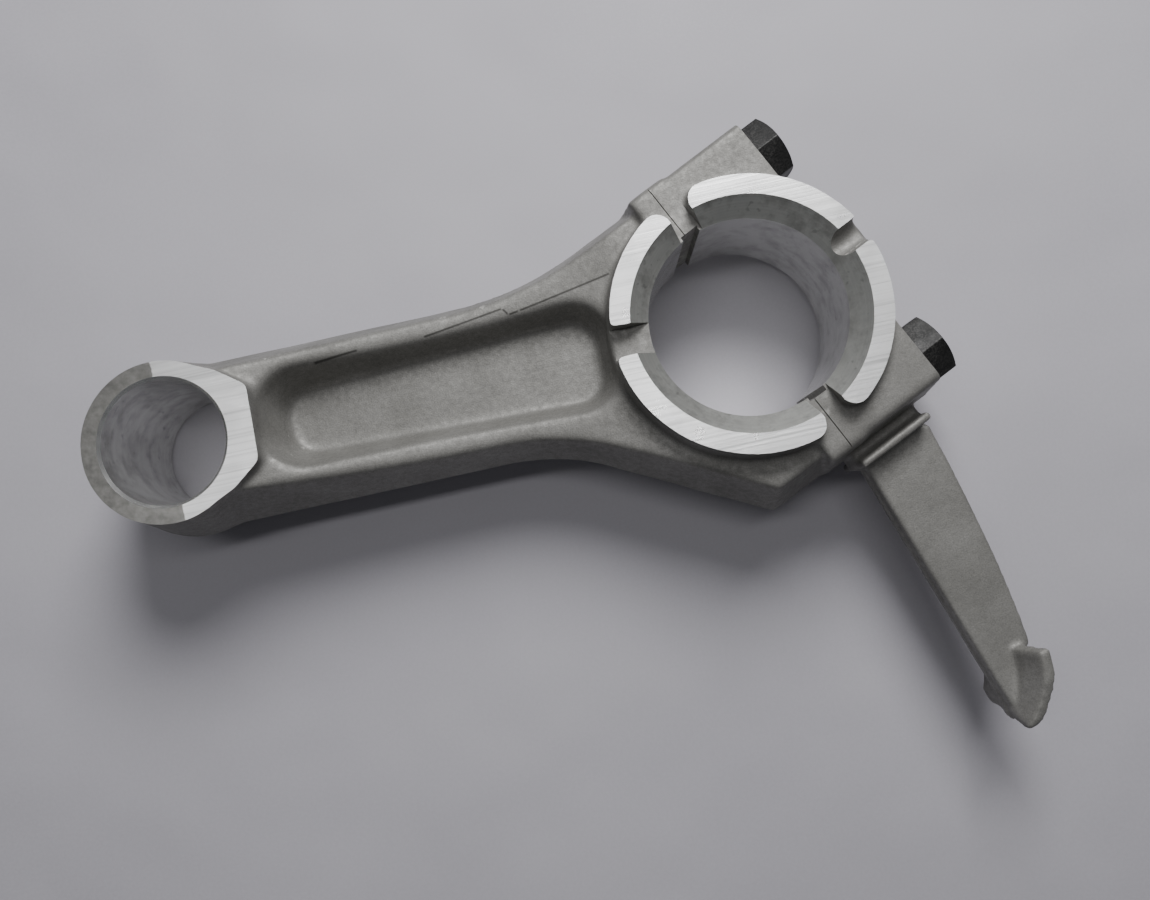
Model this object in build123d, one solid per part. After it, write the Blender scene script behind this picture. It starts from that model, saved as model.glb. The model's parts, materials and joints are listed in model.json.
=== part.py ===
"""Connecting rod of a small single-cylinder engine.

Aluminium rod with an obliquely split big end, a bearing cap that carries the oil
dipper, two cap screws and two hollow dowels that locate the cap.

Frame: origin at the centre of the crankpin bore, halfway through its width.
Z runs along the crankpin, X from the wrist pin towards the crankpin.
The joint frame has its U axis along the screws and its V axis along the split.
"""

from build123d import *
from math import cos, radians, sin, sqrt
import os

os.makedirs("parts", exist_ok=True)

# Driving dimensions, in millimetres and degrees.
CRANKPIN_BORE = 40.0
WRIST_PIN_BORE = 25.0
CENTRES = 118.5
WIDTH = 34.0  # across the machined thrust faces, the same at both ends
SPLIT_ANGLE = 25.0  # how far the screws lean from the rod's axis

# Big end.
THRUST_INNER_R = 23.8  # where the bore's wide lead-in meets the thrust face
THRUST_OUTER_R = 27.9
LEAD_IN = THRUST_INNER_R - CRANKPIN_BORE / 2
CAST_HALF = WIDTH / 2 - LEAD_IN  # half thickness of the casting below the thrust faces
RING_R = 28.4
ROD_SLOT_WIDTH = 6.2
CAP_SLOT_WIDTH = 5.4
JOINT_GAP_ROD = 1.6  # how far each thrust face stops short of the split
JOINT_GAP_CAP = 3.6
SEGMENT_CORNER_R = 3.0  # outer corners of the thrust segments beside the split

# Screw bosses and the fits along the screws.
SCREW_OFFSET = 27.0
BOSS_OUTER = 34.6
BOSS_INNER = 17.0
BOSS_LEAN = 1.8  # how much narrower a boss is at its flat top than at the mid plane
BOSS_ROUND = 1.6
CAP_BOSS_LENGTH = 22.5
ROD_BOSS_LENGTH = 18.0
LUG_PROUD = 0.5  # how far the lugs at the split stand out past the bosses
ROD_LUG_LENGTH = 4.9
CAP_LUG_LENGTH = 4.0
SCREW_D = 8.0
SCREW_HOLE_D = 8.15
ENGAGED = 17.5  # how deep the screw reaches into the rod
HOLE_DEPTH = 19.0
HEAD_FLATS = 13.0
HEAD_HEIGHT = 8.0
HEAD_CHAMFER = 1.1
DOWEL_D = 11.0
DOWEL_LENGTH = 10.0
DOWEL_CHAMFER = 0.5
DOWEL_CAP_HOLE_D = 11.06

# Shank.
SHANK_HALF = 17.4  # half width at the mid plane
DRAFT = 18.0
SHANK_MID = 10.0  # half thickness at mid length
SHANK_SMALL = 15.2  # half thickness beside the small end
SHANK_BIG = 11.4  # half thickness beside the big end
WEB_HALF = 3.2
POCKET_DRAFT = 21.0
POCKET_START = -96.6
POCKET_END = -30.4
POCKET_HALF_SMALL = 6.6
POCKET_HALF_BIG = 9.0

# Small end.
SMALL_FACE_R = 16.2
SMALL_MID_R = 18.4
SMALL_CHAMFER = 0.6

# Dipper. S runs down the arm from its root, P across it, positive away from the lip.
ARM_ROOT = (27.0, -36.0)
ARM_TIP = (40.5, -84.0)
ARM_HALF = 3.0
ARM_START = -6.0
ARM_WIDE = 8.0  # half width at the root
ARM_END = (53.8, -5.85)
ARM_NECK = (42.8, 3.9)  # where the paddle leaves the arm's other edge
LIP_START = 0.6
LIP_END = 17.8
LIP_OUTER = 38.4
LIP_INNER = 36.7
LIP_HALF = 8.6
PADDLE_FROM = 41.2
PADDLE_TO = 54.6
PADDLE_TILT = 14.0
PADDLE_SIDE = -6.3
PADDLE_HALF = 9.0
PADDLE_THICK = 2.4
PADDLE_CENTRE = (38.7, -19.9)  # the paddle is part of a ring around this point
PADDLE_R = 20.0
PADDLE_TOP = 4.1  # how far its upper edge lies outside that radius
PADDLE_BOTTOM = -1.4
PADDLE_NEAR_R = 2.5
PADDLE_FAR_R = 1.2

TURN = Rot(0, 0, SPLIT_ANGLE)


def joint_point(u, v):
    """A point of the joint frame, in the rod's frame."""
    a = radians(SPLIT_ANGLE)
    return (u * cos(a) - v * sin(a), u * sin(a) + v * cos(a))


def joint_box(u0, u1, v0, v1, z0, z1):
    """A block given by its limits in the joint frame."""
    block = Box(u1 - u0, v1 - v0, z1 - z0)
    return TURN * Pos((u0 + u1) / 2, (v0 + v1) / 2, (z0 + z1) / 2) * block


def both_sides(solid):
    """The solid and its mirror image in the mid plane."""
    return solid + mirror(solid, Plane.XY)


def half_space(side):
    """Everything on one side of the split: +1 is the cap's side."""
    return joint_box(min(0, 150 * side), max(0, 150 * side), -160, 160, -60, 60)


def boss(u0, u1, proud, side):
    """A stretch of screw boss, with a flat top and a slightly leaning outer flank."""
    outer = BOSS_OUTER + proud
    top = outer - BOSS_LEAN
    with BuildSketch(Plane.YZ) as section:
        with BuildLine():
            Polyline(
                (BOSS_INNER, -CAST_HALF),
                (top, -CAST_HALF),
                (outer, 0),
                (top, CAST_HALF),
                (BOSS_INNER, CAST_HALF),
                close=True,
            )
        make_face()
    block = extrude(section.sketch, amount=u1 - u0)
    edges = block.edges().filter_by(Axis.X).sort_by(Axis.Y)[-3:-1]
    block = Pos(u0, 0, 0) * fillet(edges, BOSS_ROUND)
    if side < 0:
        block = mirror(block, Plane.XZ)
    return TURN * block


def along_screw(diameter, u0, u1, side):
    """A cylinder on the axis of one screw."""
    rod = Rot(0, 90, 0) * Cylinder(diameter / 2, u1 - u0)
    return TURN * Pos((u0 + u1) / 2, side * SCREW_OFFSET, 0) * rod


def thrust_ring():
    """The raised thrust faces before they are cut into segments."""
    ring = Cylinder(THRUST_OUTER_R, WIDTH) + Cylinder(RING_R, 2 * CAST_HALF)
    return ring


def bore_tool():
    """The crankpin bore with its wide lead-in at both faces."""
    top = Pos(0, 0, WIDTH / 2 - LEAD_IN / 2) * Cone(CRANKPIN_BORE / 2, THRUST_INNER_R, LEAD_IN)
    return Cylinder(CRANKPIN_BORE / 2, WIDTH + 10) + both_sides(top)


def face_gap(gap, toward, side):
    """Clears the thrust face beside the split and rounds the segment's outer corner."""
    depth = WIDTH / 2 + 1 - CAST_HALF
    corner_u = gap + SEGMENT_CORNER_R
    corner_v = sqrt((THRUST_OUTER_R - SEGMENT_CORNER_R) ** 2 - corner_u ** 2)
    block = Pos(gap / 2 - 2.5, 28.0, 0) * Box(gap + 5, 20, depth)
    corner = Pos(corner_u / 2 - 2.5, corner_v + 5, 0) * Box(corner_u + 5, 10, depth)
    corner = corner - Pos(corner_u, corner_v, 0) * Cylinder(SEGMENT_CORNER_R, depth)
    tool = Pos(0, 0, CAST_HALF + depth / 2) * (block + corner)
    if toward < 0:
        tool = mirror(tool, Plane.YZ)
    if side < 0:
        tool = mirror(tool, Plane.XZ)
    return both_sides(TURN * tool)


def shank_outline():
    """Plan outline of the rod's casting at the mid plane."""
    a = radians(SPLIT_ANGLE)
    north = joint_point(-ROD_BOSS_LENGTH, BOSS_OUTER)
    flare = (north[1] - SHANK_HALF) / (1 - cos(a))
    north_start = (north[0] - flare * sin(a), SHANK_HALF)
    south_corner = joint_point(-ROD_BOSS_LENGTH, -BOSS_OUTER)
    south_end = (-31.0, -23.6)
    lean = radians(30.0)
    south_flare = (-SHANK_HALF - south_end[1]) / (1 - cos(lean))
    south_start = (south_end[0] - south_flare * sin(lean), -SHANK_HALF)
    with BuildSketch() as plan:
        with BuildLine():
            ThreePointArc(
                (-CENTRES, SHANK_HALF), (-CENTRES - SHANK_HALF, 0), (-CENTRES, -SHANK_HALF)
            )
            Line((-CENTRES, -SHANK_HALF), south_start)
            TangentArc(south_start, south_end, tangent=(1, 0))
            Line(south_end, south_corner)
            Line(south_corner, joint_point(2, -BOSS_OUTER))
            Line(joint_point(2, -BOSS_OUTER), joint_point(2, BOSS_OUTER))
            Line(joint_point(2, BOSS_OUTER), north)
            TangentArc(north_start, north, tangent=(1, 0))
            Line(north_start, (-CENTRES, SHANK_HALF))
        make_face()
    return plan.sketch


def side_profile():
    """Side view of the rod's casting: thinner in the middle than at its ends."""
    x0 = -CENTRES - 30
    x1 = -CENTRES + 14
    x3 = -24.0
    with BuildSketch(Plane.XZ) as side:
        with BuildLine():
            Line((x0, SHANK_SMALL), (x1, SHANK_SMALL))
            ThreePointArc((x1, SHANK_SMALL), (-68, SHANK_MID), (x3, SHANK_BIG))
            Line((x3, SHANK_BIG), (40, SHANK_BIG))
            Line((40, SHANK_BIG), (40, -SHANK_BIG))
            Line((40, -SHANK_BIG), (x3, -SHANK_BIG))
            ThreePointArc((x3, -SHANK_BIG), (-68, -SHANK_MID), (x1, -SHANK_SMALL))
            Line((x1, -SHANK_SMALL), (x0, -SHANK_SMALL))
            Line((x0, -SHANK_SMALL), (x0, SHANK_SMALL))
        make_face()
    return extrude(side.sketch, amount=80, both=True)


def pocket_tool():
    """The lightening pocket of one side, with sloped walls and a flat floor."""
    with BuildSketch(Plane.XY.offset(WEB_HALF)) as floor:
        with BuildLine():
            Polyline(
                (POCKET_START, -POCKET_HALF_SMALL),
                (POCKET_END, -POCKET_HALF_BIG),
                (POCKET_END, POCKET_HALF_BIG),
                (POCKET_START, POCKET_HALF_SMALL),
                close=True,
            )
        make_face()
        fillet(floor.vertices(), 5.5)
    return extrude(floor.sketch, amount=18, taper=-POCKET_DRAFT)


def neck_pad():
    """Machined land that runs from the small end's face towards the shank."""
    with BuildSketch() as pad:
        with BuildLine():
            Polyline(
                (-CENTRES, -SMALL_FACE_R),
                (-114.0, -15.6),
                (-106.0, -12.0),
                (-100.4, -7.6),
                (-100.0, 7.6),
                (-106.0, 12.0),
                (-114.0, 15.6),
                (-CENTRES, SMALL_FACE_R),
                close=True,
            )
        make_face()
    return extrude(pad.sketch, amount=WIDTH / 2, both=True)


def small_end():
    """The small end: drafted outside, with its machined faces at full width."""
    drafted = Cone(SMALL_MID_R, SMALL_FACE_R, WIDTH / 2)
    drafted = both_sides(Pos(0, 0, WIDTH / 4) * drafted)
    return Pos(-CENTRES, 0, 0) * drafted


def wrist_pin_tool():
    """The wrist pin bore with a small chamfer at each face."""
    radius = WRIST_PIN_BORE / 2
    lead = Cone(radius, radius + SMALL_CHAMFER, SMALL_CHAMFER)
    lead = Pos(0, 0, WIDTH / 2 - SMALL_CHAMFER / 2) * lead
    return Pos(-CENTRES, 0, 0) * (Cylinder(radius, WIDTH + 10) + both_sides(lead))


def joint_relief(side):
    """Shallow relief down the bore where the two halves meet."""
    return joint_box(-1.0, 3.0, *sorted((side * 18.0, side * 20.9)), -WIDTH, WIDTH)


def make_rod_body():
    casting = both_sides(extrude(shank_outline(), amount=WIDTH / 2, taper=DRAFT))
    casting = casting & side_profile()
    for side in (1, -1):
        casting = casting + boss(-ROD_LUG_LENGTH, 0, LUG_PROUD, side)
    casting = casting + small_end() - both_sides(pocket_tool())
    casting = casting + neck_pad() + thrust_ring() - bore_tool() - wrist_pin_tool()
    slot = Pos(-CRANKPIN_BORE / 2 - 6, 0, CAST_HALF + 5) * Box(16, ROD_SLOT_WIDTH, 10)
    casting = casting - both_sides(slot)
    for side in (1, -1):
        casting = casting - face_gap(JOINT_GAP_ROD, -1, side) - joint_relief(side)
        casting = casting - along_screw(SCREW_HOLE_D, -HOLE_DEPTH, 1, side)
        casting = casting - along_screw(DOWEL_D, -DOWEL_LENGTH / 2, 1, side)
    return casting & half_space(-1)


def arm_plane():
    """Frame of the dipper: X down the arm, Y across it, Z along the crankpin."""
    dx = ARM_TIP[0] - ARM_ROOT[0]
    dy = ARM_TIP[1] - ARM_ROOT[1]
    return Plane(origin=(*ARM_ROOT, 0), x_dir=(dx, dy, 0), z_dir=(0, 0, 1))


def arm_blade():
    """The dipper's flat arm, narrowing towards the paddle."""
    inner = (ARM_NECK[0] + 1.6, ARM_NECK[1] - 4.2)
    with BuildSketch() as arm:
        with BuildLine():
            Line((ARM_START, -ARM_WIDE), ARM_END)
            ThreePointArc(ARM_END, (50.0, -2.7), inner)
            Line(inner, ARM_NECK)
            ThreePointArc(ARM_NECK, (18.0, ARM_WIDE - 1.1), (-3.0, ARM_WIDE - 0.1))
            Line((-3.0, ARM_WIDE - 0.1), (ARM_START, ARM_WIDE))
            Line((ARM_START, ARM_WIDE), (ARM_START, -ARM_WIDE))
        make_face()
    return extrude(arm.sketch, amount=ARM_HALF, both=True)


def paddle_plate():
    """The dipper's paddle: a plate that leans and curves across the end of the arm."""
    half = PADDLE_THICK / 2
    upper = PADDLE_R + PADDLE_TOP
    lower = PADDLE_R + PADDLE_BOTTOM
    with BuildSketch(Plane.XZ) as section:
        with BuildLine():
            inner = ThreePointArc(
                (upper - half, PADDLE_HALF), (PADDLE_R - half, 0), (lower - half, -PADDLE_HALF)
            )
            outer = ThreePointArc(
                (upper + half, PADDLE_HALF), (PADDLE_R + half, 0), (lower + half, -PADDLE_HALF)
            )
            Line(inner @ 0, outer @ 0)
            Line(inner @ 1, outer @ 1)
        make_face()
    plate = Pos(*PADDLE_CENTRE, 0) * revolve(section.sketch, Axis.Z)
    limits = Box(PADDLE_TO - PADDLE_FROM, 40, 2 * PADDLE_HALF)
    near = limits.edges().filter_by(Axis.Y).group_by(Axis.X)[0]
    limits = fillet(near, PADDLE_NEAR_R)
    far = limits.edges().filter_by(Axis.Y).group_by(Axis.X)[-1]
    limits = fillet(far, PADDLE_FAR_R)
    limits = Pos(0, PADDLE_SIDE + 20, 0) * Rot(0, PADDLE_TILT, 0) * limits
    return plate & Pos((PADDLE_FROM + PADDLE_TO) / 2, 0, 0) * limits


def make_bearing_cap():
    casting = thrust_ring()
    for side in (1, -1):
        casting = casting + boss(0, CAP_BOSS_LENGTH, 0, side)
        casting = casting + boss(0, CAP_LUG_LENGTH, LUG_PROUD, side)
    lip = joint_box(LIP_START, LIP_END, -LIP_OUTER, -BOSS_INNER - 10, -LIP_HALF, LIP_HALF)
    groove = both_sides(joint_box(-5, 40, -LIP_INNER, -BOSS_OUTER + 0.65, 4.0, 30))
    casting = casting + lip - groove
    casting = casting & half_space(1)
    place = arm_plane().location
    blade = place * arm_blade() - joint_box(-60, 40, -LIP_INNER, 80, -10, 10)
    casting = casting + blade + place * paddle_plate()
    casting = casting - bore_tool()
    slot = Rot(0, 90, 0) * Cylinder(CAP_SLOT_WIDTH / 2, 16)
    slot = TURN * Pos(CRANKPIN_BORE / 2 + 6, 0, WIDTH / 2) * slot
    casting = casting - both_sides(slot)
    for side in (1, -1):
        casting = casting - face_gap(JOINT_GAP_CAP, 1, side) - joint_relief(side)
        casting = casting - along_screw(SCREW_HOLE_D, -1, CAP_BOSS_LENGTH + 1, side)
        casting = casting - along_screw(DOWEL_CAP_HOLE_D, -1, DOWEL_LENGTH / 2 + 0.3, side)
    return casting


def make_cap_screw(side):
    """Hexagon screw: the head seats on the cap's boss, the thread ends in the rod."""
    length = CAP_BOSS_LENGTH + ENGAGED
    shank = Cylinder(SCREW_D / 2, length)
    shank = chamfer(shank.edges().group_by(Axis.Z)[0], 0.9)
    head = extrude(RegularPolygon(HEAD_FLATS / 2, 6, major_radius=False), amount=HEAD_HEIGHT)
    crown = Cone(HEAD_FLATS / 2 + 7, HEAD_FLATS / 2 - HEAD_CHAMFER / 2, HEAD_HEIGHT)
    head = head & Pos(0, 0, HEAD_HEIGHT / 2) * crown
    screw = Rot(0, 90, 0) * (head + Pos(0, 0, -length / 2) * shank)
    return TURN * Pos(CAP_BOSS_LENGTH, side * SCREW_OFFSET, 0) * screw


def make_dowel(side):
    """Hollow dowel around a screw: pressed into the rod, a slide fit in the cap."""
    sleeve = Cylinder(DOWEL_D / 2, DOWEL_LENGTH)
    sleeve = chamfer(sleeve.edges(), DOWEL_CHAMFER)
    sleeve = sleeve - Cylinder(SCREW_HOLE_D / 2, DOWEL_LENGTH + 1)
    return TURN * Pos(0, side * SCREW_OFFSET, 0) * Rot(0, 90, 0) * sleeve


def main():
    nodes = {
        "rod_body": make_rod_body(),
        "bearing_cap": make_bearing_cap(),
        "cap_screw_upper": make_cap_screw(1),
        "cap_screw_lower": make_cap_screw(-1),
        "dowel_sleeve_upper": make_dowel(1),
        "dowel_sleeve_lower": make_dowel(-1),
    }
    for name, solid in nodes.items():
        export_step(solid, f"parts/{name}.step")


main()
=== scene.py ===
"""Looks of the connecting rod: die-cast aluminium with machined faces, black screws, pale paper.

Lengths are in millimetres and turn into metres where a mesh is made. The joint frame has its
U axis along the screws and its V axis along the split.
"""
import json
from math import cos, hypot, pi, radians, sin, tan
import bmesh
import bpy
import numpy as np
from mathutils import Euler, Matrix, Vector, noise


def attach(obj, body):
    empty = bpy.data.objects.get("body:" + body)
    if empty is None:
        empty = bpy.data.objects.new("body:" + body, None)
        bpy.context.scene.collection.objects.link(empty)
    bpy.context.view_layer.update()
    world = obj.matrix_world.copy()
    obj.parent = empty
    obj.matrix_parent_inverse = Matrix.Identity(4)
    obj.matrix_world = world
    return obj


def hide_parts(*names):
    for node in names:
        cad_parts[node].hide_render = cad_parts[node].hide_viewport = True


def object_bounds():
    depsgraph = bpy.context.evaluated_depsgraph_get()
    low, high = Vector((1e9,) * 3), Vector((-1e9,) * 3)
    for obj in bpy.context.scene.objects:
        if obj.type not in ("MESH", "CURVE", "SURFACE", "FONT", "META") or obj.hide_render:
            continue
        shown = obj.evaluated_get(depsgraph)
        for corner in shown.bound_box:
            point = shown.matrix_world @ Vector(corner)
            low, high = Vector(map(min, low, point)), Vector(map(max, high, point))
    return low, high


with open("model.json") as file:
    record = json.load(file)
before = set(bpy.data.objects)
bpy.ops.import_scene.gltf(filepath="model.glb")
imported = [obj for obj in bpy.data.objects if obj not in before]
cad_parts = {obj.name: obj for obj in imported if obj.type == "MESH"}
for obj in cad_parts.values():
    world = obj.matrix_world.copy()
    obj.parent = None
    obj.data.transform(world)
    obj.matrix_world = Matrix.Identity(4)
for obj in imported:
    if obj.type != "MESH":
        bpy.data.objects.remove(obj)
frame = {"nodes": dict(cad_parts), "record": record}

MM = 0.001
cad_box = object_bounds()

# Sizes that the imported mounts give.
mounts = {mount["name"]: mount for mount in frame["record"]["mounts"]}
BORE_R = mounts["crankpin_bore"]["dims"]["r_mm"]
CAST_HALF = mounts["crankpin_bore"]["dims"]["length_mm"] / 2  # mid plane to the cast faces
PIN_R = mounts["wrist_pin_bore"]["dims"]["r_mm"]
CENTRES = -mounts["wrist_pin_bore"]["pos_m"][0] / MM
HALF = mounts["big_end_face_front"]["pos_m"][2] / MM  # mid plane to the machined faces
LEAD_R = BORE_R + HALF - CAST_HALF  # where the 45 degree lead-in meets the machined face

# Sizes repeated from the CAD model.
PIN_CHAMFER = 0.6
SPLIT = radians(25.0)  # how far the screws lean from the rod's axis
SCREW_V = 27.0
SEAT_U = 22.5
HOLE_R = 4.075
HOLE_DEPTH = 19.0
DOWEL_R = 5.5
DOWEL_DEPTH = 5.0
ENGAGED = 17.5  # how deep a screw reaches into the rod
HEAD_FLATS = 13.0
HEAD_HEIGHT = 8.0
ROD_SLOT_HALF = 3.1
CAP_SLOT_R = 2.7
JOINT_GAP_ROD = 1.6  # how far each thrust face stops short of the split
JOINT_GAP_CAP = 3.6

# The rough casting and its cuts.
STOCK = 0.8  # extra metal left on the blank where it is machined
VOXEL = 0.42
CLEAR = 25.0  # beyond any metal, from the mid plane
AROUND = (-160, 80, -120, 80)  # limits in X and Y that hold the whole object
DIPPER_V = -35.7  # the dipper's side of this belongs to the cap
ARM_V = (-38.6, -39.4)  # where the big end goes over into the dipper's arm
GROOVE_HALF = 0.10
GROOVE_DEPTH = 0.7
SLACK = 0.02  # keeps steps in a turned profile apart

# The screws' thread.
SHANK_R = 3.98
POINT_R = 3.05
THREAD_LENGTH = 22.0
THREAD_PITCH = 1.25
THREAD_DEPTH = 0.70
THREAD_STEPS = 48

# Painted shade: thin dark lines along small steps that the die's inserts left on the front of
# the shank.
STEP_SHADE_LINES = (
    ((-44.7, 12.0), (-25.0, 15.1)),
    ((-65.0, 10.9), (-48.0, 13.2)),
    ((-48.0, 13.2), (-47.0, 11.7)),
    ((-47.0, 11.7), (-44.7, 12.0)),
    ((-87.7, 10.1), (-78.4, 11.0)),
)

SIDES = (1, -1)
SURFACES = ("cast", "thrust", "lead", "bore", "small_face", "split")

TO_JOINT = Matrix.Rotation(SPLIT, 4, "Z")
ALONG_U = Matrix.Rotation(pi / 2, 4, "Y")  # turns a lathe's Z onto U
AT_WRIST_PIN = Matrix.Translation((-CENTRES, 0, 0))


# ---- mesh helpers

def new_object(name, mesh):
    obj = bpy.data.objects.new(name, mesh)
    bpy.context.scene.collection.objects.link(obj)
    return obj


def mesh_of(bm, name):
    mesh = bpy.data.meshes.new(name)
    bm.to_mesh(mesh)
    bm.free()
    return mesh


def closed_object(name, build):
    """An object of the closed solids that build adds, with their faces turned outward."""
    bm = bmesh.new()
    build(bm)
    bmesh.ops.recalc_face_normals(bm, faces=bm.faces)
    return new_object(name, mesh_of(bm, name))


def evaluated(obj):
    """The object's mesh with its modifiers applied."""
    graph = bpy.context.evaluated_depsgraph_get()
    graph.update()
    return bpy.data.meshes.new_from_object(obj.evaluated_get(graph), depsgraph=graph)


def drop(obj):
    bpy.data.objects.remove(obj, do_unlink=True)


def add_box(bm, x0, x1, y0, y1, z0, z1, place=None):
    """A block given by its limits."""
    place = place or Matrix()
    size = Matrix.Diagonal((x1 - x0, y1 - y0, z1 - z0, 1))
    middle = Matrix.Translation(((x0 + x1) / 2, (y0 + y1) / 2, (z0 + z1) / 2))
    bmesh.ops.create_cube(bm, size=1.0, matrix=Matrix.Scale(MM, 4) @ place @ middle @ size)


def add_lathe(bm, profile, steps, place=None):
    """A closed solid of revolution about Z; the profile is a list of (radius, z)."""
    place = Matrix.Scale(MM, 4) @ (place or Matrix())
    rings = []
    for radius, z in profile:
        ring = []
        for i in range(steps):
            a = 2 * pi * i / steps
            ring.append(bm.verts.new(place @ Vector((radius * cos(a), radius * sin(a), z))))
        rings.append(ring)
    skin(bm, rings)


def skin(bm, rings):
    """Closes a stack of rings of points, from the lowest to the highest."""
    for low, high in zip(rings, rings[1:]):
        for i in range(len(low)):
            j = (i + 1) % len(low)
            bm.faces.new((low[i], low[j], high[j], high[i]))
    bm.faces.new(list(reversed(rings[0])))
    bm.faces.new(rings[-1])


def add_cylinder(bm, radius, z0, z1, steps, place=None):
    add_lathe(bm, [(radius, z0), (radius, z1)], steps, place)


def span(side, near, far):
    """The limits of a stretch from near to far, on one side of zero."""
    return sorted((side * near, side * far))


def along_screw(side):
    """Places a lathe's Z on a screw's axis, with its zero at the split."""
    return TO_JOINT @ Matrix.Translation((0, side * SCREW_V, 0)) @ ALONG_U


def positions(mesh):
    co = np.empty(len(mesh.vertices) * 3)
    mesh.vertices.foreach_get("co", co)
    return co.reshape(-1, 3) / MM


def set_positions(mesh, co):
    mesh.vertices.foreach_set("co", (co * MM).ravel())
    mesh.update()


def vertex_normals(mesh):
    n = np.empty(len(mesh.vertices) * 3, dtype=np.float32)
    mesh.vertex_normals.foreach_get("vector", n)
    return n.reshape(-1, 3).astype(float)


def shade(mesh, degrees):
    """Smooth shading that breaks where faces meet at more than this angle."""
    mesh.polygons.foreach_set("use_smooth", np.ones(len(mesh.polygons), dtype=bool))
    mesh.set_sharp_from_angle(angle=radians(degrees))
    mesh.update()


def in_joint(co):
    """U and V of points or directions in the rod's frame."""
    u = co[:, 0] * cos(SPLIT) + co[:, 1] * sin(SPLIT)
    v = -co[:, 0] * sin(SPLIT) + co[:, 1] * cos(SPLIT)
    return u, v


def smoothed(mesh, co, weight, rounds):
    """Moves each point towards the mean of its neighbours, by its own weight."""
    edges = np.empty(len(mesh.edges) * 2, dtype=np.int64)
    mesh.edges.foreach_get("vertices", edges)
    a, b = edges.reshape(-1, 2).T
    count = len(co)
    degree = np.bincount(a, minlength=count) + np.bincount(b, minlength=count)
    degree = np.maximum(degree, 1)[:, None]
    weight = np.asarray(weight)[:, None]
    for _ in range(rounds):
        total = np.empty_like(co)
        for k in range(3):
            total[:, k] = np.bincount(a, co[b, k], count) + np.bincount(b, co[a, k], count)
        co = co + weight * (total / degree - co)
    return co


def ramp(value, low, high):
    """Goes from 0 at low to 1 at high, and stays there beyond."""
    return np.clip((value - low) / (high - low), 0, 1)


# ---- the rough casting

def add_stock(bm, axis, place):
    """Thickens the flat faces that look along an axis and lie at that place on it."""
    faces = []
    for face in bm.faces:
        at = face.calc_center_median().dot(axis) / MM
        if face.normal.dot(axis) > 0.99 and abs(at - place) < 0.05:
            faces.append(face)
    made = bmesh.ops.extrude_face_region(bm, geom=faces)
    verts = [g for g in made["geom"] if isinstance(g, bmesh.types.BMVert)]
    bmesh.ops.translate(bm, vec=axis * STOCK * MM, verts=verts)
    bmesh.ops.delete(bm, geom=faces, context="FACES")


def casting_blank():
    """Rod and cap as one rough casting, its holes filled and with stock to machine."""
    bm = bmesh.new()
    bm.from_mesh(frame["nodes"]["rod_body"].data)
    bm.from_mesh(frame["nodes"]["bearing_cap"].data)
    bmesh.ops.remove_doubles(bm, verts=bm.verts, dist=2e-6)
    bm.normal_update()
    for side in SIDES:
        add_stock(bm, Vector((0, 0, side)), HALF)
    add_stock(bm, Vector((cos(SPLIT), sin(SPLIT), 0)), SEAT_U)
    top = HALF + STOCK
    add_cylinder(bm, LEAD_R + 0.5, -top, top, 128)
    add_cylinder(bm, PIN_R + 1.2, -top, top, 96, AT_WRIST_PIN)
    for side in SIDES:
        add_cylinder(bm, DOWEL_R + 0.4, -HOLE_DEPTH - 0.5, SEAT_U + STOCK, 48, along_screw(side))
    raw = new_object("blank", mesh_of(bm, "blank"))
    remesh = raw.modifiers.new("remesh", "REMESH")
    remesh.mode = "VOXEL"
    remesh.voxel_size = VOXEL * MM
    mesh = evaluated(raw)
    drop(raw)
    return mesh


def soften(mesh):
    """Rounds the casting's edges as a die does, most of all in the pockets."""
    co = positions(mesh)
    x, y, z = co.T
    u, v = in_joint(co)
    r = np.hypot(x, y)
    pocket = ramp(x, -104, -98) * ramp(x, -25.0, -31.0) * ramp(np.abs(y), 17.0, 13.0)
    flank = ramp(x, -104, -96) * ramp(x, -18, -26) * ramp(r, 28.5, 30.5)
    near_face = np.where(np.abs(z) > HALF - 0.4, 0.3, 1.0)
    co = smoothed(mesh, co, (0.5 * pocket + 0.12 * flank) * near_face, 24)
    lug = ramp(r, 27.0, 28.5) * ramp(np.abs(u), 8.0, 6.0)
    co = smoothed(mesh, co, 0.4 * lug, 10)
    paddle = ramp(v, -66.0, -69.0)
    co = smoothed(mesh, co, 0.5 - 0.3 * paddle, 8)
    set_positions(mesh, co)
    return co


def add_flash(mesh, co):
    """The die's parting line round the flanks, and a slow waviness of the cast skin.

    The line is a thin ridge, and on the dipper's arm a flat band.
    """
    n = vertex_normals(mesh)
    z = co[:, 2]
    v = in_joint(co)[1]
    points = co.tolist()
    shift = Vector((7, 3, 1))
    wobble = np.array([noise.noise(Vector(p) * 0.16) for p in points])
    slow = np.array([noise.noise(Vector((x, y, 0)) * 0.07 + shift) for x, y, _ in points])
    side_wall = ramp(np.abs(n[:, 2]), 0.75, 0.45)
    arm = ramp(v, *ARM_V)
    ridge = np.exp(-(((z + 0.15 * slow) / 0.42) ** 2)) * (0.20 + 0.16 * slow)
    band = ramp(np.abs(z), 1.15, 0.75) * 0.42
    lift = side_wall * (ridge * (1 - arm) + band * arm)
    co = co + n * (lift + 0.05 * wobble)[:, None]
    set_positions(mesh, co)


# ---- the machining cuts that rod and cap share

def cut_faces(bm):
    for side in SIDES:
        add_box(bm, *AROUND, *span(side, HALF, HALF + 6))


def cut_crankpin_bore(bm):
    """The bore and its lead-ins, which run on past the faces."""
    past = 4
    far = HALF + past
    wide = LEAD_R + past
    profile = [(wide, -far), (BORE_R, -CAST_HALF), (BORE_R, CAST_HALF), (wide, far)]
    add_lathe(bm, profile, 256)


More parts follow.
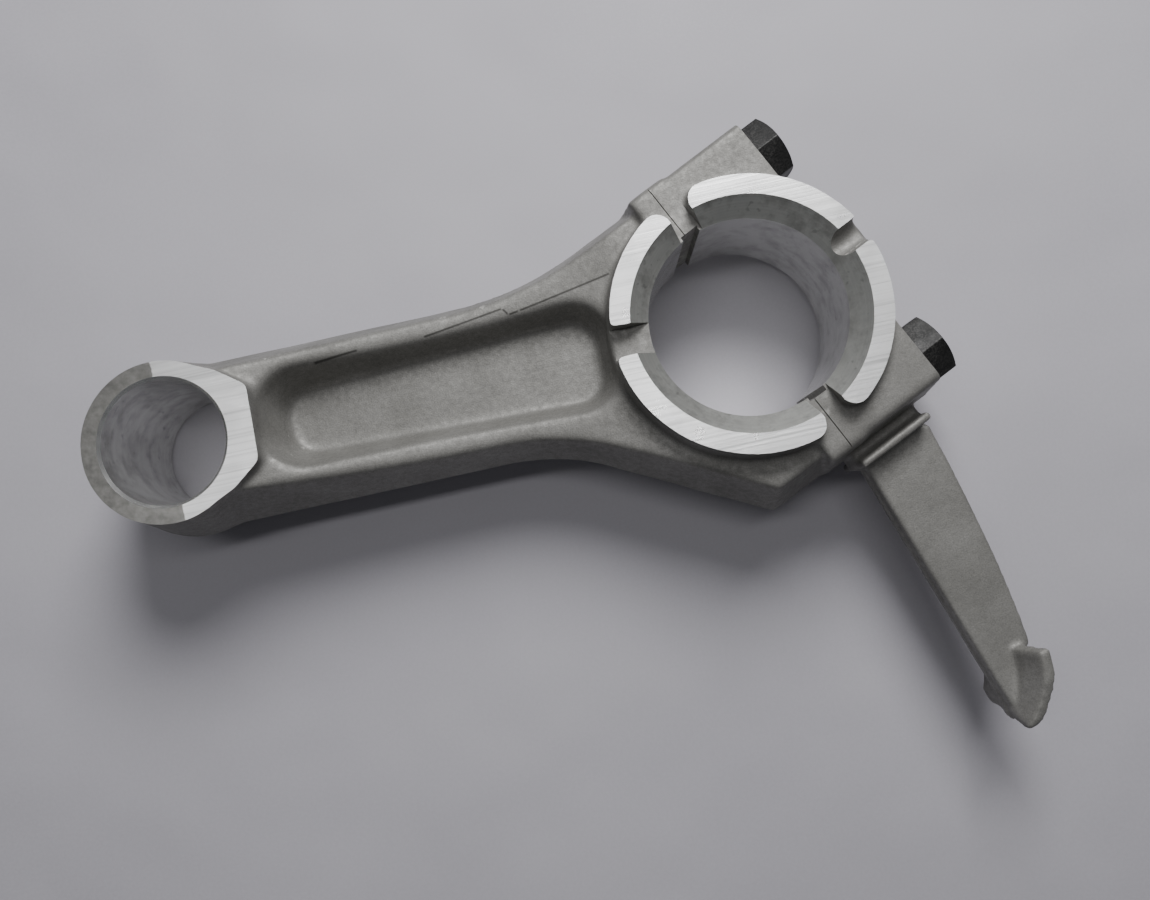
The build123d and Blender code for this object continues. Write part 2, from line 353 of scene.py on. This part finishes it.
def cut_wrist_pin_bore(bm):
    """The bore and its chamfers, which run on past the faces."""
    past = 3
    far = HALF + past
    wide = PIN_R + PIN_CHAMFER + past
    near = HALF - PIN_CHAMFER
    add_lathe(bm, [(wide, -far), (PIN_R, -near), (PIN_R, near), (wide, far)], 192, AT_WRIST_PIN)


def cut_rod_slots(bm):
    for side in SIDES:
        add_box(bm, -28.9, -15, -ROD_SLOT_HALF, ROD_SLOT_HALF, *span(side, CAST_HALF, CLEAR))


def cut_cap_slots(bm):
    """Round grooves across the cap's thrust faces."""
    for side in SIDES:
        place = TO_JOINT @ Matrix.Translation((0, 0, side * HALF)) @ ALONG_U
        add_cylinder(bm, CAP_SLOT_R, 14, 32, 64, place)


def cut_gaps(bm):
    """Takes the thrust faces off beside the split."""
    for side in SIDES:
        for face in SIDES:
            v0, v1 = span(side, 18, 38)
            z0, z1 = span(face, CAST_HALF + 0.08, CLEAR)
            add_box(bm, -JOINT_GAP_ROD, JOINT_GAP_CAP, v0, v1, z0, z1, TO_JOINT)


def cut_reliefs(bm):
    """Shallow reliefs in the bore's wall at the split."""
    for side in SIDES:
        add_box(bm, -1.0, 3.0, *span(side, 17.0, 20.9), -CLEAR, CLEAR, TO_JOINT)


def cut_screw_holes(bm):
    """Screw holes, opened out for the dowels on both sides of the split."""
    cap_r = DOWEL_R + 0.03
    cap_depth = DOWEL_DEPTH + 0.3
    profile = [
        (HOLE_R, -HOLE_DEPTH),
        (HOLE_R, -DOWEL_DEPTH - 0.03 - SLACK),
        (DOWEL_R, -DOWEL_DEPTH - SLACK),
        (DOWEL_R, 0),
        (cap_r, 0.001),
        (cap_r, cap_depth),
        (HOLE_R, cap_depth + SLACK),
        (HOLE_R, SEAT_U + 3),
    ]
    for side in SIDES:
        add_lathe(bm, profile, 64, along_screw(side))


def cut_seats(bm):
    for side in SIDES:
        add_box(bm, SEAT_U, SEAT_U + 6, *span(side, 15.0, 36.0), -15, 15, TO_JOINT)


def cut_split_groove(bm):
    """A fine groove, so that the split shows on the cast faces."""
    for side in SIDES:
        for face in SIDES:
            v0, v1 = span(side, 19, 38)
            z0, z1 = span(face, CAST_HALF - GROOVE_DEPTH, CLEAR)
            add_box(bm, -GROOVE_HALF, GROOVE_HALF, v0, v1, z0, z1, TO_JOINT)


CUTS = (
    cut_faces,
    cut_crankpin_bore,
    cut_wrist_pin_bore,
    cut_rod_slots,
    cut_cap_slots,
    cut_gaps,
    cut_reliefs,
    cut_screw_holes,
    cut_seats,
    cut_split_groove,
)


def rod_side(bm):
    """The rod's side of the split, clear of the dipper."""
    add_box(bm, AROUND[0], 0, DIPPER_V, 100, -40, 40, TO_JOINT)


def boolean(obj, other, operation):
    mod = obj.modifiers.new("cut", "BOOLEAN")
    mod.operation = operation
    mod.solver = "MANIFOLD"
    mod.object = other


def machined_half(blank, cutters, block, operation, name):
    """One half of the machined casting, parted by the block."""
    obj = new_object(name, blank.copy())
    for cutter in cutters:
        boolean(obj, cutter, "DIFFERENCE")
    boolean(obj, block, operation)
    mesh = evaluated(obj)
    drop(obj)
    mesh.name = name
    return new_object(name, mesh)


def sort_faces(obj, materials):
    """Gives each face its finish, by where it lies and which way it faces."""
    mesh = obj.data
    count = len(mesh.polygons)
    c = np.empty(count * 3)
    n = np.empty(count * 3)
    mesh.polygons.foreach_get("center", c)
    mesh.polygons.foreach_get("normal", n)
    c = c.reshape(-1, 3) / MM
    n = n.reshape(-1, 3)
    x, y, z = c.T
    u, v = in_joint(c)
    depth = np.abs(z)
    r = np.hypot(x, y)
    r_small = np.hypot(x + CENTRES, y)
    up = np.abs(n[:, 2])
    along = in_joint(n)[0]
    kind = np.zeros(count, dtype=np.int32)

    def mark(name, chosen):
        kind[chosen] = SURFACES.index(name)

    top = (np.abs(depth - HALF) < 0.01) & (up > 0.99)
    mark("thrust", top & (r < 40))
    cone = (r < LEAD_R + 0.05) & (r > BORE_R - 0.05) & (np.abs(up - 0.7071) < 0.03)
    mark("lead", cone & (np.abs(depth - (r - BORE_R) - CAST_HALF) < 0.1))
    mark("bore", (np.abs(r - BORE_R) < 0.08) & (up < 0.1) & (depth < CAST_HALF + 0.1))
    mark("bore", (r_small < PIN_R + 0.7) & (up < 0.95))
    mark("small_face", top & (x < -60))
    mark("split", (np.abs(u) < 0.01) & (np.abs(along) > 0.99))
    mark("split", (np.abs(u - SEAT_U) < 0.01) & (along > 0.99) & (np.abs(v) > 14.5))
    for side in SIDES:
        off = np.hypot(v - side * SCREW_V, z)
        mark("split", (off < DOWEL_R + 0.06) & (u < SEAT_U - 0.02) & (u > -HOLE_DEPTH - 0.1))
    # Clearing the materials resets the indices, so it comes before they are set.
    mesh.materials.clear()
    for name in SURFACES:
        mesh.materials.append(materials[name])
    mesh.polygons.foreach_set("material_index", kind)
    shade(mesh, 33)


# ---- the screws

def hex_head():
    """Hexagon head that stands on Z = 0, with softened corners and a chamfered top."""
    bm = bmesh.new()
    add_cylinder(bm, HEAD_FLATS / 2 / cos(pi / 6), 0, HEAD_HEIGHT, 6)
    upright = [e for e in bm.edges if abs(e.verts[0].co.z - e.verts[1].co.z) > 1e-6]
    bmesh.ops.bevel(bm, geom=upright, offset=0.22 * MM, segments=3, affect="EDGES", profile=0.5)
    head = new_object("head", mesh_of(bm, "head"))
    slope = tan(radians(27))
    crown = HEAD_FLATS / 2 - 0.35
    past = 6
    profile = [
        (crown + past, -1),
        (crown + past, HEAD_HEIGHT - past * slope),
        (crown + 0.5, HEAD_HEIGHT - 0.5 * slope - 0.02),
        (crown, HEAD_HEIGHT - 0.09),
        (crown - 0.3, HEAD_HEIGHT),
        (0.4, HEAD_HEIGHT),
    ]
    cone = closed_object("cone", lambda bm: add_lathe(bm, profile, 120))
    boolean(head, cone, "INTERSECT")
    mesh = evaluated(head)
    drop(head)
    drop(cone)
    return mesh


def thread_depth(turns):
    """Depth of the thread below its crest, for a position counted in turns."""
    return THREAD_DEPTH * (1 - ramp(abs(turns % 1.0 - 0.5), 0.0625, 0.4375))


def screw_shank(bm):
    """Plain shank and rolled thread, as one closed skin down the -Z side of the head."""
    end = -(SEAT_U + ENGAGED)
    thread_start = end + THREAD_LENGTH
    heights = [0.4, 0.0, -0.3]
    heights += list(np.arange(-1.5, thread_start + 0.4, -1.5))
    heights += list(np.arange(thread_start, end + 0.02, -THREAD_PITCH / 12))
    heights.append(end)
    rings = []
    for z in heights:
        run_in = ramp(thread_start - z, 0, 2.2)
        point = POINT_R + (SHANK_R - POINT_R) * ramp(z - end, 0, 0.9)
        ring = []
        for i in range(THREAD_STEPS):
            a = 2 * pi * i / THREAD_STEPS
            depth = thread_depth(z / THREAD_PITCH + i / THREAD_STEPS) * run_in
            r = min(SHANK_R - depth, point)
            ring.append(bm.verts.new(Vector((r * cos(a), r * sin(a), z)) * MM))
        rings.append(ring)
    skin(bm, rings[::-1])


def make_screw(name, side, material):
    """A whole screw on its seat, with one corner of its head pointing along the crankpin."""
    bm = bmesh.new()
    bm.from_mesh(hex_head())
    screw_shank(bm)
    seat = Matrix.Translation(Vector((SEAT_U, side * SCREW_V, 0)) * MM)
    bmesh.ops.transform(bm, matrix=TO_JOINT @ seat @ ALONG_U, verts=bm.verts)
    obj = new_object(name, mesh_of(bm, name))
    shade(obj.data, 35)
    obj.data.materials.append(material)
    return obj


# ---- materials

class Nodes:
    """Short calls for building a material's node tree."""

    def __init__(self, name):
        self.material = bpy.data.materials.new(name)
        self.material.use_nodes = True
        self.tree = self.material.node_tree
        self.shader = self.tree.nodes["Principled BSDF"]
        coords = self.tree.nodes.new("ShaderNodeTexCoord")
        scale = self.tree.nodes.new("ShaderNodeVectorMath")
        scale.operation = "SCALE"
        scale.inputs["Scale"].default_value = 1 / MM
        self.link(coords.outputs["Object"], scale.inputs[0])
        self.mm = scale.outputs[0]

    def link(self, a, b):
        self.tree.links.new(a, b)

    def noise(self, scale, detail=3.0, rough=0.55, stretch=None, turn=0.0, shift=0.0):
        """Noise whose scale is in features per millimetre."""
        vector = self.mm
        if stretch or turn or shift:
            mapping = self.tree.nodes.new("ShaderNodeMapping")
            mapping.inputs["Rotation"].default_value = (0, 0, turn)
            mapping.inputs["Scale"].default_value = stretch or (1, 1, 1)
            mapping.inputs["Location"].default_value = (shift, shift, shift)
            self.link(vector, mapping.inputs["Vector"])
            vector = mapping.outputs[0]
        node = self.tree.nodes.new("ShaderNodeTexNoise")
        node.inputs["Scale"].default_value = scale
        node.inputs["Detail"].default_value = detail
        node.inputs["Roughness"].default_value = rough
        self.link(vector, node.inputs["Vector"])
        return node.outputs["Fac"]

    def ramp(self, fac, stops):
        """Colour ramp; each stop is (position, colour or grey)."""
        node = self.tree.nodes.new("ShaderNodeValToRGB")
        elements = node.color_ramp.elements
        while len(elements) < len(stops):
            elements.new(0.5)
        for element, (position, value) in zip(elements, stops):
            element.position = position
            if not isinstance(value, tuple):
                value = (value, value, value)
            element.color = (*value, 1)
        self.link(fac, node.inputs["Fac"])
        return node.outputs["Color"]

    def range(self, fac, low, high, a=0.0, b=1.0):
        """Goes from a to b as fac goes from low to high."""
        node = self.tree.nodes.new("ShaderNodeMapRange")
        for key, value in (("From Min", low), ("From Max", high), ("To Min", a), ("To Max", b)):
            node.inputs[key].default_value = value
        self.link(fac, node.inputs["Value"])
        return node.outputs["Result"]

    def axis(self, letter):
        """One coordinate of the surface point, in millimetres."""
        node = self.tree.nodes.new("ShaderNodeSeparateXYZ")
        self.link(self.mm, node.inputs[0])
        return node.outputs[letter]

    def worn_edges(self, low, high):
        """Mask of the outward edges, which wear first."""
        node = self.tree.nodes.new("ShaderNodeNewGeometry")
        return self.range(node.outputs["Pointiness"], low, high)

    def math(self, operation, a, b=None):
        node = self.tree.nodes.new("ShaderNodeMath")
        node.operation = operation
        for socket, value in zip(node.inputs, (a, b)):
            if value is None:
                continue
            if isinstance(value, (int, float)):
                socket.default_value = value
            else:
                self.link(value, socket)
        return node.outputs[0]

    def plus(self, a, b):
        return self.math("ADD", a, b)

    def times(self, a, b):
        return self.math("MULTIPLY", a, b)

    def mix(self, a, b, fac, blend="MIX"):
        node = self.tree.nodes.new("ShaderNodeMix")
        node.data_type = "RGBA"
        node.blend_type = blend
        for socket, value in ((node.inputs[0], fac), (node.inputs[6], a), (node.inputs[7], b)):
            if isinstance(value, (int, float)):
                socket.default_value = value
            elif isinstance(value, tuple):
                socket.default_value = (*value, 1)
            else:
                self.link(value, socket)
        return node.outputs[2]

    def mottle(self, color, fac, stops, strength):
        """Darkens and lightens a colour by a grey ramp."""
        return self.mix(color, self.ramp(fac, stops), strength, "MULTIPLY")

    def bump(self, height, strength, distance, under=None):
        node = self.tree.nodes.new("ShaderNodeBump")
        node.inputs["Strength"].default_value = strength
        node.inputs["Distance"].default_value = distance * MM
        self.link(height, node.inputs["Height"])
        if under:
            self.link(under, node.inputs["Normal"])
        return node.outputs["Normal"]

    def finish(self, color, rough, normal, metallic):
        self.shader.inputs["Metallic"].default_value = metallic
        self.link(color, self.shader.inputs["Base Color"])
        self.link(rough, self.shader.inputs["Roughness"])
        self.link(normal, self.shader.inputs["Normal"])
        return self.material


def step_shade_line(n, start, end):
    """Mask of a thin straight line of painted shade along a small step on the front, given by
    its two ends.
    """
    length = hypot(end[0] - start[0], end[1] - start[1])
    dx = (end[0] - start[0]) / length
    dy = (end[1] - start[1]) / length
    x, y = n.axis("X"), n.axis("Y")
    along = n.plus(n.times(x, dx), n.times(y, dy))
    across = n.plus(n.times(x, -dy), n.times(y, dx))
    off = n.math("ABSOLUTE", n.plus(across, start[0] * dy - start[1] * dx))
    first = start[0] * dx + start[1] * dy
    last = first + length
    fade = 0.4
    mask = n.times(n.range(off, 0.30, 0.10), n.range(along, first, first + fade))
    mask = n.times(mask, n.range(along, last, last - fade))
    return n.times(mask, n.range(n.axis("Z"), 5.0, 6.0))


def cast_skin():
    """Grey die-cast skin: fine grain, cloudy tone, edges worn bright, dark lines of painted
    shade along small steps.
    """
    n = Nodes("cast_skin")
    grain = n.noise(3.4, 2.0, 0.6)
    coarse = n.noise(0.9, 3.0)
    cloud = n.noise(0.075, 4.0)
    dark, grey, pale = (0.200, 0.196, 0.184), (0.250, 0.245, 0.232), (0.305, 0.30, 0.287)
    color = n.ramp(cloud, [(0.30, dark), (0.55, grey), (0.78, pale)])
    color = n.mottle(color, grain, [(0.25, 0.70), (0.5, 0.97), (0.8, 1.25)], 0.8)
    color = n.mottle(color, coarse, [(0.3, 0.86), (0.7, 1.1)], 0.7)
    patches = n.range(n.noise(0.55, 3.0, shift=5.0), 0.48, 0.66)
    worn = n.times(n.worn_edges(0.53, 0.60), patches)
    color = n.mix(color, (0.78, 0.77, 0.74), n.times(worn, 0.55))
    # Painted shade: near-black lines where small steps on the front would lie in shade.
    for start, end in STEP_SHADE_LINES:
        color = n.mix(color, (0.03, 0.028, 0.025), n.times(step_shade_line(n, start, end), 0.8))
    rough = n.range(coarse, 0.3, 0.7, 0.62, 0.46)
    normal = n.bump(coarse, 0.35, 0.12, n.bump(grain, 0.55, 0.07))
    return n.finish(color, rough, normal, 0.35)


def tool_marks(n, turn, density, tone):
    """Colour and bump of straight tool marks, which lie closer the higher the density."""
    marks = n.noise(1.0, 3.0, 0.6, (0.012 * density, 1.9 * density, 0.012), turn)
    wide = n.noise(1.0, 2.0, 0.5, (0.01, 0.42 * density, 0.01), turn, 3.0)
    low = tuple(0.66 * t for t in tone)
    high = tuple(min(1, 1.06 * t) for t in tone)
    color = n.ramp(marks, [(0.28, low), (0.5, tone), (0.75, high)])
    color = n.mottle(color, wide, [(0.3, 0.90), (0.7, 1.0)], 0.8)
    return color, n.bump(wide, 0.35, 0.05, n.bump(marks, 0.7, 0.04))


def milled(name, turn, density, tone, rough_low, rough_high):
    """A milled face: straight tool marks, a little colour from mark to mark."""
    n = Nodes(name)
    color, normal = tool_marks(n, turn, density, tone)
    rough = n.range(n.noise(0.12, 3.0), 0.35, 0.7, rough_low, rough_high)
    return n.finish(color, rough, normal, 0.8)


def two_tone_small_face():
    """The small end's face: milled marks all over, with a darker grey beyond a ragged line, away
    from the shank.
    """
    n = Nodes("milled_small_face")
    color, normal = tool_marks(n, radians(-47), 0.8, (0.95, 0.95, 0.95))
    # The face turns a darker grey beyond a ragged line across it, on the side away from the
    # shank.
    line = n.plus(n.axis("X"), n.times(n.axis("Y"), 0.045))
    ragged = n.times(n.noise(0.5, 3.0), 0.8)
    light_side = n.range(n.plus(line, ragged), -117.1, -116.9)
    dark_grey = n.ramp(n.noise(0.8, 4.0), [(0.3, (0.20, 0.197, 0.188)), (0.7, (0.31, 0.305, 0.29))])
    rough = n.range(n.noise(0.12, 3.0), 0.35, 0.7, 0.30, 0.40)
    return n.finish(n.mix(dark_grey, color, light_side), rough, normal, 0.8)


def turned(name, tone, dark, rough_low, rough_high):
    """A bored or turned surface: fine rings along the bore, darker and rougher stains."""
    n = Nodes(name)
    rings = n.noise(1.0, 2.0, 0.5, (0.02, 0.02, 3.2))
    stain = n.noise(0.22, 4.0, 0.6)
    spots = n.noise(0.7, 2.0, 0.5, shift=9.0)
    color = n.ramp(stain, [(0.34, dark), (0.56, tone)])
    color = n.mottle(color, spots, [(0.26, 0.55), (0.36, 1.0)], 0.6)
    color = n.mottle(color, rings, [(0.3, 0.88), (0.7, 1.04)], 0.7)
    rough = n.range(stain, 0.35, 0.65, rough_high, rough_low)
    return n.finish(color, rough, n.bump(rings, 0.3, 0.02), 0.85)


def black_oxide():
    """Blackened steel, rubbed grey on its edges."""
    n = Nodes("black_oxide")
    grain = n.noise(2.6, 2.0)
    cloud = n.noise(0.35, 3.0)
    color = n.ramp(cloud, [(0.3, 0.012), (0.7, 0.028)])
    worn = n.times(n.worn_edges(0.52, 0.62), n.range(grain, 0.42, 0.7))
    color = n.mix(color, (0.16, 0.155, 0.15), n.times(worn, 0.6))
    rough = n.range(cloud, 0.3, 0.7, 0.58, 0.46)
    return n.finish(color, rough, n.bump(grain, 0.4, 0.04), 0.4)


def ground_steel():
    """Bright steel with fine marks across it."""
    n = Nodes("ground_steel")
    marks = n.noise(1.0, 2.0, 0.5, (2.4, 0.05, 0.05), -SPLIT)
    cloud = n.noise(0.4, 3.0)
    color = n.ramp(marks, [(0.3, 0.42), (0.7, 0.60)])
    rough = n.range(cloud, 0.3, 0.7, 0.22, 0.34)
    return n.finish(color, rough, n.bump(marks, 0.2, 0.01), 1.0)


def paper():
    """Pale bluish paper with faint fibres and wide soft creases."""
    n = Nodes("paper")
    fibre = n.noise(1.6, 3.0)
    cloud = n.noise(0.012, 3.0)
    crease = n.noise(0.018, 2.0, 0.4, shift=40.0)
    color = n.ramp(cloud, [(0.3, (0.500, 0.485, 0.530)), (0.7, (0.54, 0.525, 0.570))])
    color = n.mottle(color, fibre, [(0.3, 0.97), (0.7, 1.02)], 1.0)
    rough = n.range(fibre, 0.3, 0.7, 0.55, 0.7)
    return n.finish(color, rough, n.bump(crease, 0.5, 6.0), 0.0)


def casting_materials():
    """The finish of each of SURFACES."""
    return {
        "cast": cast_skin(),
        "thrust": milled("milled_face", radians(-12), 1.0, (0.985, 0.985, 0.985), 0.27, 0.36),
        "lead": turned("lead_in", (0.66, 0.665, 0.64), (0.40, 0.40, 0.385), 0.34, 0.5),
        "bore": turned("bore", (0.86, 0.86, 0.85), (0.62, 0.62, 0.61), 0.14, 0.26),
        "small_face": two_tone_small_face(),
        "split": milled("split_face", SPLIT, 0.7, (0.5, 0.5, 0.49), 0.4, 0.5),
    }


# ---- stage, lights and camera

def add_camera():
    """Camera beside the middle of the rod, looking almost straight down."""
    data = bpy.data.cameras.new("camera")
    data.sensor_width = 36.0
    data.lens = 30.88
    data.clip_start = 0.01
    camera = bpy.data.objects.new("camera", data)
    place = Matrix.Translation(Vector((-38.1, -35.54, 207.78)) * MM)
    turn = Euler((radians(4.744), radians(1.477), radians(-12.298)))
    camera.matrix_world = place @ turn.to_matrix().to_4x4()
    bpy.context.scene.collection.objects.link(camera)
    bpy.context.scene.camera = camera


def add_light(name, place, aim, size, power):
    """An area light at a place in metres, turned towards its aim."""
    data = bpy.data.lights.new(name, "AREA")
    data.shape = "DISK"
    data.size = size
    data.energy = power
    light = bpy.data.objects.new(name, data)
    light.location = place
    light.rotation_euler = (Vector(aim) - Vector(place)).to_track_quat("-Z", "Y").to_euler()
    bpy.context.scene.collection.objects.link(light)
    return data


def add_floor(z):
    bm = bmesh.new()
    s = 3.0
    corners = [bm.verts.new(p) for p in ((-s, -s, z), (s, -s, z), (s, s, z), (-s, s, z))]
    bm.faces.new(corners)
    floor = new_object("floor", mesh_of(bm, "floor"))
    floor.data.materials.append(paper())


def add_lights():
    """A soft key light from behind the rod, a long strip overhead and a dim bluish sky."""
    add_light("key", (0.085, 0.36, 0.40), aim=(-0.01, 0.03, 0), size=0.30, power=3.25)
    strip = add_light("above", (-0.11, 0.075, 0.66), aim=(-0.11, 0.07, 0), size=0.60, power=0.75)
    strip.shape = "RECTANGLE"
    strip.size_y = 0.06
    world = bpy.data.worlds.new("world")
    world.use_nodes = True
    background = world.node_tree.nodes["Background"]
    background.inputs["Color"].default_value = (0.93, 0.95, 1, 1)
    background.inputs["Strength"].default_value = 0.085
    bpy.context.scene.world = world


def main():
    add_camera()
    add_floor(cad_box[0][2])
    add_lights()
    materials = casting_materials()
    black = black_oxide()
    steel = ground_steel()
    blank = casting_blank()
    add_flash(blank, soften(blank))
    cutters = [closed_object("cutter", build) for build in CUTS]
    block = closed_object("split", rod_side)
    rod = machined_half(blank, cutters, block, "INTERSECT", "rod_casting")
    cap = machined_half(blank, cutters, block, "DIFFERENCE", "cap_casting")
    for obj in cutters + [block]:
        drop(obj)
    for obj, node, body in ((rod, "rod_body", "rod"), (cap, "bearing_cap", "cap")):
        sort_faces(obj, materials)
        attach(obj, body)
        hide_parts(node)
    for name, side in (("upper", 1), ("lower", -1)):
        screw = make_screw("screw_" + name + "_piece", side, black)
        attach(screw, "screw_" + name)
        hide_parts("cap_screw_" + name)
        dowel = frame["nodes"]["dowel_sleeve_" + name]
        dowel.data.materials.clear()
        dowel.data.materials.append(steel)


main()
